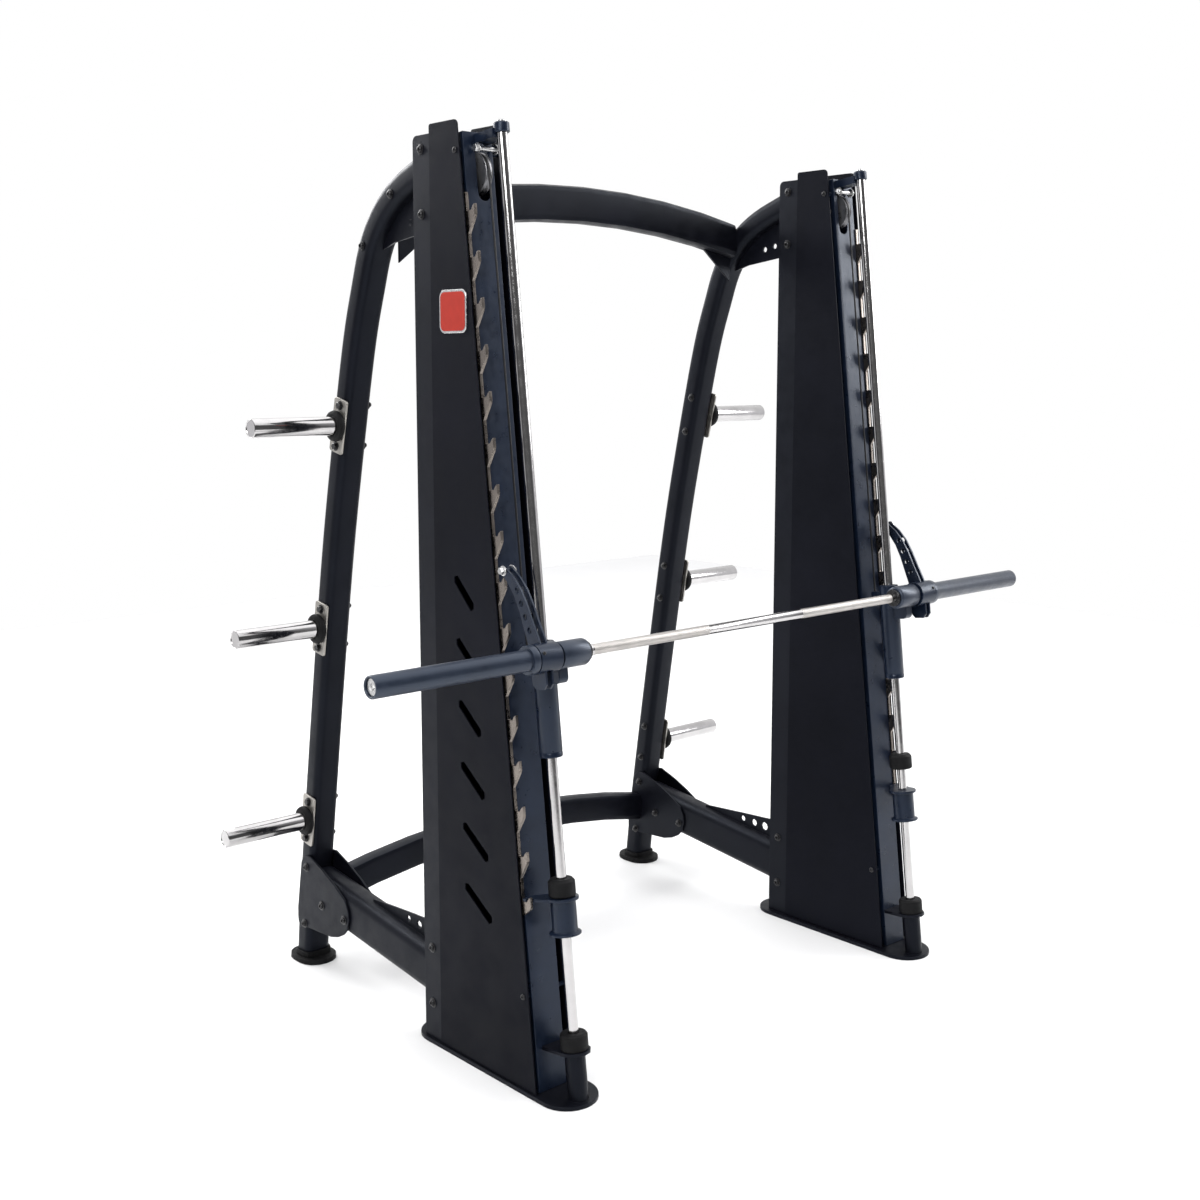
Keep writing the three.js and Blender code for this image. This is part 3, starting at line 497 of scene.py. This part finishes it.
def make_stand_bolts(side, sign):
    out = X_AXIS * sign
    bm = bmesh.new()
    for y, z in CORNER_BOLTS:
        bolt(bm, Vector((sign * CORNER_OUT, y, z)), out, 0.0088, 0.0065)
        bolt(bm, Vector((sign * CORNER_IN, y, z)), -out, 0.0088, 0.007, kind="dome")
    for z in CHANNEL_BOLTS:
        bolt(bm, Vector((sign * CHANNEL_OUT, CHANNEL_BOLT_Y, z)), out)
        bolt(bm, Vector((sign * CHANNEL_IN, CHANNEL_BOLT_Y, z)), -out)
    for y, z in POST_BOLTS:
        bolt(bm, Vector((sign * POST_OUT, y, z)), out)
    new_object(f"frame_bolts_{side}", bm, BOLT, "stand")
    bm = bmesh.new()
    for u in PANEL_SCREWS:
        bolt(bm, at(sign * PANEL_OUT, PANEL_SCREW_D, u), out, 0.0075, 0.0035, washer=False)
        bolt(bm, at(sign * PANEL_IN, PANEL_SCREW_D, u), -out, 0.0075, 0.0035, washer=False)
    new_object(f"panel_screws_{side}", bm, BOLT, "stand")


def make_column(side, sign):
    """The guide rod, the bolt on its cap and the guard bolt across the pulley slot."""
    out = X_AXIS * sign
    bm = bmesh.new()
    lathe(bm, rod_profile(ROD_R, ROD_BOTTOM, ROD_TOP), at(sign * ROD_X, ROD_D, 0), UP)
    rod = new_object(f"rod_{side}", bm, CHROME, "stand")
    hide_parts(f"guide_rod_{side}")
    bm = bmesh.new()
    bolt(bm, at(sign * ROD_X, ROD_D, ROD_BOLT_U), UP, height=0.0065)
    bolt(bm, at(sign * GUARD_IN, GUARD_D, GUARD_U), -out, height=0.008, kind="dome")
    length = GUARD_OUT - GUARD_IN + 0.002
    shank = [(0, 0), (GUARD_R, 0), (GUARD_R, length), (0, length)]
    lathe(bm, shank, at(sign * (GUARD_IN - 0.002), GUARD_D, GUARD_U), out, 20)
    bolt(bm, at(sign * GUARD_OUT, GUARD_D, GUARD_U), out, height=0.008, kind="hex")
    new_object(f"column_fasteners_{side}", bm, STEEL, "stand")


# ---------- barbell ----------

KNURL_FROM, KNURL_TO = 0.177, 0.562
KNURL_R = 0.0127
KNURL_RAMP = 0.0005
JOURNAL_FROM, JOURNAL_R = 0.579, 0.015
SPIGOT_R, SPIGOT_END = 0.0136, 1.150
COLLAR_IN, COLLAR_R = 0.739, 0.034
SLEEVE_BORE = 0.014
JOURNAL_BORE = 0.0153
END_BORE = 0.0195


def make_bar():
    """Shaft with a plain middle, two knurled grips and thicker ends that turn in the hubs."""
    half = [(ROD_R, KNURL_FROM - KNURL_RAMP), (KNURL_R, KNURL_FROM), (KNURL_R, KNURL_TO),
            (ROD_R, KNURL_TO + KNURL_RAMP), (KNURL_R, JOURNAL_FROM - 0.004), (JOURNAL_R, JOURNAL_FROM),
            (JOURNAL_R, COLLAR_OUT), (SPIGOT_R, COLLAR_OUT), (SPIGOT_R, SPIGOT_END), (0, SPIGOT_END)]
    bm = bmesh.new()
    lathe(bm, [(r, -x) for r, x in reversed(half)] + half, at(0, BAR_D, BAR_U), X_AXIS)
    bar = new_object("bar_shaft", bm, CHROME, "bar")
    bar.data.materials.append(KNURL)
    for polygon in bar.data.polygons:
        if KNURL_FROM < abs(polygon.center.x) < KNURL_TO:
            polygon.material_index = 1
    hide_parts("barbell")


def make_sleeve(side, sign):
    """Plate sleeve with its collar, and the bright cap in its end."""
    centre = at(0, BAR_D, BAR_U)
    out = X_AXIS * sign
    collar = [(JOURNAL_BORE, COLLAR_IN), (COLLAR_R - 0.0015, COLLAR_IN), (COLLAR_R, COLLAR_IN + 0.0015),
              (COLLAR_R, COLLAR_OUT - 0.0035), (COLLAR_R - 0.002, COLLAR_OUT), (0.0252, COLLAR_OUT)]
    tube = [(SLEEVE_R, COLLAR_OUT + 0.0005), (SLEEVE_R, SLEEVE_END - 0.0025), (0.0235, SLEEVE_END),
            (0.0205, SLEEVE_END), (END_BORE, SLEEVE_END - 0.001), (END_BORE, SLEEVE_END - 0.007)]
    bore = [(SLEEVE_BORE, SLEEVE_END - 0.008), (SLEEVE_BORE, COLLAR_OUT + 0.003),
            (JOURNAL_BORE, COLLAR_OUT + 0.003), (JOURNAL_BORE, COLLAR_IN)]
    bm = bmesh.new()
    lathe(bm, collar + tube + bore, centre, out, 64)
    sleeve = new_object(f"sleeve_{side}", bm, SLEEVE, "bar")
    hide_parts(f"bar_sleeve_{side}")
    cap_in, cap_out = SPIGOT_END + 0.0005, SLEEVE_END - 0.0045
    bm = bmesh.new()
    lathe(bm, [(0, cap_in), (0.0192, cap_in), (0.0192, cap_out - 0.001), (0.018, cap_out), (0, cap_out)],
          centre, out, 40)
    bolt(bm, centre + out * (cap_out - 0.0002), out, 0.007, 0.0035, washer=False, kind="hex")
    new_object(f"sleeve_cap_{side}", bm, STEEL, "bar")


# ---------- carriage ----------

HOUSING_R, HOUSING_BORE = 0.027, 0.0180
HOUSING_BOTTOM, HOUSING_TOP = 0.7946, 1.0640
HUB_R, HUB_BORE = 0.0315, 0.0235
HUB_IN, HUB_OUT = 0.585, 0.667
WEB_IN, WEB_OUT = ROD_X - 0.0144, ROD_X + 0.0137
WEB_BACK, WEB_BOTTOM, WEB_TOP = 0.097, 0.9675, 1.0555
WEB_CORNER = 0.014
LUG_IN, LUG_OUT = 0.646, 0.664
LUG_FRONT, LUG_BACK = 0.046, 0.014
LUG_BOTTOM, LUG_TOP = 1.005, 1.045
STOP_RING_IN, STOP_RING_OUT = 0.5770, 0.5845


def make_housing(side, sign):
    """Slide tube on the guide rod, with a shallow groove near its foot."""
    groove = HOUSING_R - 0.0007
    bm = bmesh.new()
    lathe(bm, [(HOUSING_BORE, HOUSING_BOTTOM), (HOUSING_R - 0.002, HOUSING_BOTTOM),
               (HOUSING_R, HOUSING_BOTTOM + 0.002), (HOUSING_R, 0.8050), (groove, 0.8060), (groove, 0.8085),
               (HOUSING_R, 0.8095), (HOUSING_R, HOUSING_TOP - 0.002), (HOUSING_R - 0.002, HOUSING_TOP),
               (HOUSING_BORE, HOUSING_TOP), (HOUSING_BORE, HOUSING_BOTTOM)],
          at(sign * ROD_X, ROD_D, 0), UP, 56)
    housing = new_object(f"slide_housing_{side}", bm, SATIN, "carriages")
    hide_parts(f"carriage_{side}")


def make_hub(side, sign):
    bm = bmesh.new()
    lathe(bm, [(HUB_BORE, HUB_IN), (HUB_R - 0.005, HUB_IN), (HUB_R - 0.0017, HUB_IN + 0.0025),
               (HUB_R, HUB_IN + 0.007), (HUB_R, HUB_OUT - 0.0015), (HUB_R - 0.001, HUB_OUT),
               (HUB_BORE, HUB_OUT), (HUB_BORE, HUB_IN)], at(0, BAR_D, BAR_U), X_AXIS * sign, 56)
    new_object(f"bar_hub_{side}", bm, SLEEVE, "carriages")


def make_web(side, sign):
    """Plate that carries the hub on the slide tube, round at its lower front corner."""
    angles = [math.radians(15 * i) for i in range(7)]
    corner_d, corner_u = BAR_D - WEB_CORNER, WEB_BOTTOM + WEB_CORNER
    corner = [(corner_d + WEB_CORNER * math.sin(a), corner_u - WEB_CORNER * math.cos(a)) for a in angles]
    outline = [(WEB_BACK, WEB_TOP), (WEB_BACK, WEB_BOTTOM), *corner,
               (BAR_D, 1.010), (0.120, 1.020), (0.1195, WEB_TOP)]
    bm = bmesh.new()
    join_rings(bm, [[bm.verts.new(at(sign * x, d, u)) for d, u in outline] for x in (WEB_IN, WEB_OUT)])
    web = new_object(f"hub_web_{side}", bm, SATIN, "carriages")
    bevel_edges(web, 0.0015)


def make_lug(side, sign):
    """Block behind the slide tube that the cable is fixed to."""
    plan = ((LUG_IN, LUG_FRONT), (LUG_OUT, LUG_FRONT), (LUG_OUT, LUG_BACK), (LUG_IN, LUG_BACK))
    bm = bmesh.new()
    join_rings(bm, [[bm.verts.new(at(sign * x, d, u)) for x, d in plan] for u in (LUG_BOTTOM, LUG_TOP)])
    lug = new_object(f"cable_lug_{side}", bm, SATIN, "carriages")
    bevel_edges(lug, 0.003, 3)


def make_stop_ring(side, sign):
    """Ring pinned to the bar on the inner side of the hub."""
    centre = at(0, BAR_D, BAR_U)
    out = X_AXIS * sign
    bm = bmesh.new()
    lathe(bm, [(KNURL_R, STOP_RING_IN), (HUB_BORE - 0.001, STOP_RING_IN), (HUB_BORE, STOP_RING_IN + 0.001),
               (HUB_BORE, STOP_RING_OUT - 0.001), (KNURL_R, STOP_RING_OUT), (KNURL_R, STOP_RING_IN)],
          centre, out, 40)
    bolt(bm, centre + out * 0.581 + UP * 0.0225, UP, 0.004, 0.003, washer=False)
    new_object(f"bar_stop_ring_{side}", bm, BOLT, "bar")


def make_carriage(side, sign):
    make_housing(side, sign)
    make_hub(side, sign)
    make_web(side, sign)
    make_lug(side, sign)
    make_stop_ring(side, sign)


# ---------- cables ----------

CABLE_R = 0.0025
CABLE_FOOT_U = 1.0453
WEIGHT_TOP_Z = 1.5903
RUN_STEPS = 12
WRAP_STEPS = 24


def make_cable(name, points, body):
    bm = bmesh.new()
    sweep(bm, points, circle(CABLE_R, 12))
    return new_object(name, bm, CABLE, body)


def straight(a, b):
    return [a.lerp(b, i / RUN_STEPS) for i in range(RUN_STEPS + 1)]


def make_cables(side, sign):
    """Front run, wrap over the pulley and back run."""
    x = sign * PULLEY_X
    centre = at(x, PULLEY_D, PULLEY_U)
    top = at(x, PULLEY_D + WRAP_R, PULLEY_U)
    lug = at(x, PULLEY_D + WRAP_R, CABLE_FOOT_U)
    back = centre + Vector((0, WRAP_R, 0))
    weight = Vector((back.x, back.y, WEIGHT_TOP_Z))

    front_run = make_cable(f"cable_front_{side}", straight(lug, top), None)
    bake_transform(front_run)
    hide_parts(f"cable_{side}")
    back_run = make_cable(f"cable_back_{side}", straight(weight, back), None)
    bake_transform(back_run)

    angles = [(math.pi - LEAN) * i / WRAP_STEPS for i in range(WRAP_STEPS + 1)]
    arc = [centre + Vector((0, WRAP_R * math.cos(a), WRAP_R * math.sin(a))) for a in angles]
    make_cable(f"cable_wrap_{side}", arc, "stand")


# ---------- badge and latch hardware ----------

BADGE_Y, BADGE_Z = -0.243, 1.828
BADGE_W, BADGE_H = 0.104, 0.100
RIM_T, FACE_T = 0.0024, 0.0010
RIM_WIDTH = 0.005
LATCH_R = 0.2225
LATCH_ANGLE = math.radians(63.47)
PIN_OUT, PIN_IN = 0.7222, 0.6988
COLLAR_SCREW_X, COLLAR_SCREW_R = 0.7285, 0.0345
COLLAR_SCREW_TURN = 1.15


def make_badge(side, sign):
    """A plain enamel plate in a bright rim, with nothing on it."""
    out = X_AXIS * sign
    place = Vector((sign * (PANEL_OUT + 0.0001), BADGE_Y, BADGE_Z))
    bm = bmesh.new()
    slab(bm, place, out, BADGE_W, BADGE_H, 0.018, RIM_T)
    new_object(f"badge_rim_{side}", bm, STEEL, "stand")
    bm = bmesh.new()
    seat = place + out * (RIM_T - 0.0002)
    slab(bm, seat, out, BADGE_W - 2 * RIM_WIDTH, BADGE_H - 2 * RIM_WIDTH, 0.014, FACE_T)
    new_object(f"badge_face_{side}", bm, BADGE, "stand")


def make_latch_hardware(side, sign):
    """Bright head and nut on the latch pin's two ends, and the collar's set screws."""
    out = X_AXIS * sign
    across, rise = LATCH_R * math.cos(LATCH_ANGLE), LATCH_R * math.sin(LATCH_ANGLE)
    pin = at(0, BAR_D - across, BAR_U + rise)
    bm = bmesh.new()
    bolt(bm, pin + out * PIN_OUT, out, 0.0082, 0.009, kind="hex")
    bolt(bm, pin + out * PIN_IN, -out, 0.0085, 0.009, kind="dome")
    new_object(f"latch_pin_ends_{side}", bm, STEEL, "bar")
    centre = at(0, BAR_D, BAR_U) + out * COLLAR_SCREW_X
    bm = bmesh.new()
    for turn in (-COLLAR_SCREW_TURN, COLLAR_SCREW_TURN):
        away = (UP * math.cos(turn) + FORWARD * math.sin(turn)).normalized()
        bolt(bm, centre + away * COLLAR_SCREW_R, away, 0.0045, 0.003, washer=False)
    new_object(f"collar_screws_{side}", bm, BOLT, "bar")


# ---------- setting ----------

FLOOR_HALF = 6.5
SKY_TOWARD = (0.67, 0.74, 0.25)
SKY_SHADES = ((0.0, 0.16), (0.3, 0.10), (0.45, 0.55), (0.62, 0.95), (1.0, 1.0))
SKY_BLUE = 1.03
MIX_COLOR_A, MIX_COLOR_B = 6, 7
# Name, place, what it is aimed at, size and power.
LIGHTS = (
    ("overhead", (0, 0, 9.0), (0, 0, 0), (18.0, 18.0), 1000),
    ("key", (-4.4, -2.4, 4.4), (0, 0, 1.1), (2.4, 2.4), 190),
    ("rim", (3.8, -2.0, 3.4), (0, 0, 1.2), (1.2, 3.2), 130),
    ("back", (-1.0, 4.2, 3.6), (0, 0, 1.2), (3.0, 1.6), 140),
)
CAMERA_PLACE = (-2.815, -3.057, 1.706)
CAMERA_TURN, CAMERA_DROP = math.radians(-42.08), math.radians(7.42)
SENSOR_MM, LENS_MM = 36, 44.592


def make_floor():
    bm = bmesh.new()
    bmesh.ops.create_grid(bm, x_segments=24, y_segments=24, size=FLOOR_HALF)
    mesh = bpy.data.meshes.new("floor")
    bm.to_mesh(mesh)
    bm.free()
    floor = bpy.data.objects.new("floor", mesh)
    bpy.context.scene.collection.objects.link(floor)
    mesh.materials.append(surface("pale_floor", (0.86, 0.86, 0.86), rough=0.6, grain=60, bump=0.02,
                                  spread=0.015, smudge=2, rough_spread=0.05))


def make_world():
    """White behind the machine; a sky that is dark on one side shapes the reflections."""
    world = bpy.data.worlds.new("studio")
    bpy.context.scene.world = world
    world.use_nodes = True
    tree = world.node_tree
    background = tree.nodes["Background"]
    background.inputs["Strength"].default_value = 1.0
    coords = tree.nodes.new("ShaderNodeTexCoord")
    facing = tree.nodes.new("ShaderNodeVectorMath")
    facing.operation = "DOT_PRODUCT"
    facing.inputs[1].default_value = SKY_TOWARD
    tree.links.new(coords.outputs["Generated"], facing.inputs[0])
    spread = tree.nodes.new("ShaderNodeMapRange")
    spread.inputs["From Min"].default_value = -1.0
    tree.links.new(facing.outputs["Value"], spread.inputs["Value"])

    ramp = tree.nodes.new("ShaderNodeValToRGB")
    elements = ramp.color_ramp.elements
    first, *between, last = SKY_SHADES
    for element, (place, value) in zip(elements, (first, last)):
        element.position = place
        element.color = (value, value, value, 1)
    for place, value in between:
        elements.new(place).color = (value, value, value * SKY_BLUE, 1)
    tree.links.new(spread.outputs["Result"], ramp.inputs["Fac"])

    rays = tree.nodes.new("ShaderNodeLightPath")
    mix = tree.nodes.new("ShaderNodeMix")
    mix.data_type = "RGBA"
    tree.links.new(rays.outputs["Is Camera Ray"], mix.inputs["Factor"])
    tree.links.new(ramp.outputs["Color"], mix.inputs[MIX_COLOR_A])
    mix.inputs[MIX_COLOR_B].default_value = (1, 1, 1, 1)
    tree.links.new(mix.outputs[2], background.inputs["Color"])
    bpy.context.scene.view_settings.view_transform = "Standard"


def add_area(name, place, target, size, power):
    data = bpy.data.lights.new(name, "AREA")
    data.shape = "RECTANGLE"
    data.size, data.size_y = size
    data.energy = power
    light = bpy.data.objects.new(name, data)
    bpy.context.scene.collection.objects.link(light)
    light.location = place
    light.rotation_euler = (Vector(target) - Vector(place)).to_track_quat("-Z", "Y").to_euler()


def make_camera():
    data = bpy.data.cameras.new("camera")
    data.sensor_width = SENSOR_MM
    data.lens = LENS_MM
    data.shift_x = 0.003
    data.shift_y = -0.035
    camera = bpy.data.objects.new("camera", data)
    bpy.context.scene.collection.objects.link(camera)
    camera.location = CAMERA_PLACE
    camera.rotation_euler = (math.pi / 2 - CAMERA_DROP, 0, CAMERA_TURN)
    bpy.context.scene.camera = camera


# ---------- assembly ----------

CAD_FINISH = {
    "base_plate": FRAME, "front_upright": SATIN, "rear_channel": FRAME, "outer_panel": PANEL,
    "inner_panel": PANEL, "rack_plate": RACK, "top_bracket": SATIN, "base_bumper": RUBBER,
    "side_rail": FRAME, "post_foot": RUBBER, "corner_plate_outer": FRAME, "corner_plate_inner": FRAME,
    "slide_bushing": NYLON, "hub_bearing": STEEL, "rack_latch": SATIN, "cable_pulley": PULLEY,
    "pulley_axle": ZINC, "counterweight": IRON, "safety_stop": SATIN, "stop_bumper": RUBBER,
}
FINE_EDGES = {
    "outer_panel": 0.0008, "inner_panel": 0.0008, "rack_plate": 0.0008,
    "slide_bushing": 0.0002, "hub_bearing": 0.0002,
}

for side, sign in SIDES:
    for node, mat in CAD_FINISH.items():
        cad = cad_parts[f"{node}_{side}"]
        dress(cad, mat)
        soften(cad, FINE_EDGES.get(node, 0.0012))
    make_post(side, sign)
    for horn in HORNS:
        make_horn(side, sign, *horn)
    make_stand_bolts(side, sign)
    make_column(side, sign)
    make_sleeve(side, sign)
    make_carriage(side, sign)
    make_cables(side, sign)
    make_badge(side, sign)
    make_latch_hardware(side, sign)
make_bar()
for node in ("lower_cross_beam", "upper_cross_beam"):
    dress(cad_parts[node], FRAME)
    soften(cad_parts[node])

make_floor()
make_world()
for light in LIGHTS:
    add_area(*light)
make_camera()
